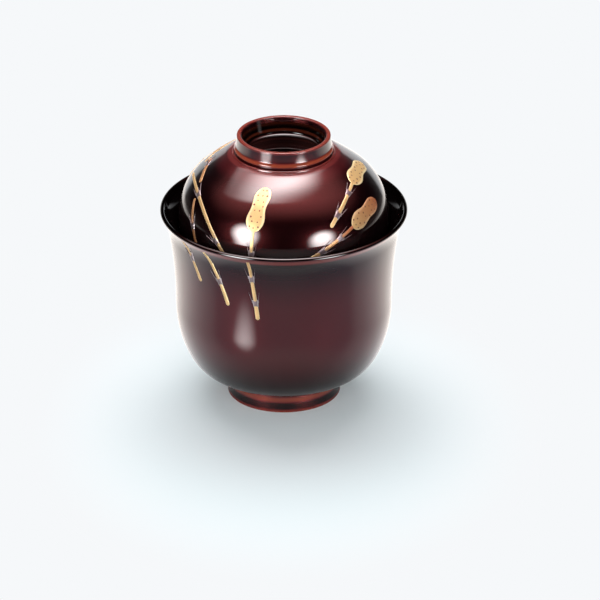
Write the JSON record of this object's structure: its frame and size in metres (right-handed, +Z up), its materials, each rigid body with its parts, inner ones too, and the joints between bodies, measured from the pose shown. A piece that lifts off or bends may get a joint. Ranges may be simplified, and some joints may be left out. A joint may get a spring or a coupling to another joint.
{
  "type": "lidded lacquer soup bowl",
  "caption": "Small deep lacquer soup bowl on a turned foot ring, with a flared mouth and a domed lid that drops inside it and is lifted by a ring grip.",
  "frame": {"origin": "centre of the foot ring's standing face", "axes": "+Z up along the bowl's axis, with the lid on top; the painted shoots face -Y and -X"},
  "size_m": [0.097, 0.097, 0.1104],
  "materials": {
    "wood_core": "turned, unfinished",
    "red_brown_lacquer": "polished lacquer",
    "black_lacquer": "polished lacquer",
    "gold_work": "sprinkled metal, satin",
    "silver_work": "sprinkled metal, satin"
  },
  "bodies": {
    "bowl": {"bowl_core": "wood_core", "bowl_outer_lacquer": "red_brown_lacquer", "bowl_inner_lacquer": "black_lacquer", "foot_well_lacquer": "red_brown_lacquer", "bowl_gold_shoots": "gold_work", "bowl_silver_sheaths": "silver_work"},
    "lid": {"lid_core": "wood_core", "lid_outer_lacquer": "red_brown_lacquer", "lid_inner_lacquer": "black_lacquer", "lid_gold_shoots": "gold_work", "lid_silver_sheaths": "silver_work"}
  },
  "joints": [
    {"name": "lid_lift", "type": "slide", "parent": "bowl", "child": "lid", "axis": [0, 0, 1], "range_m": [0, 0.1]}
  ]
}
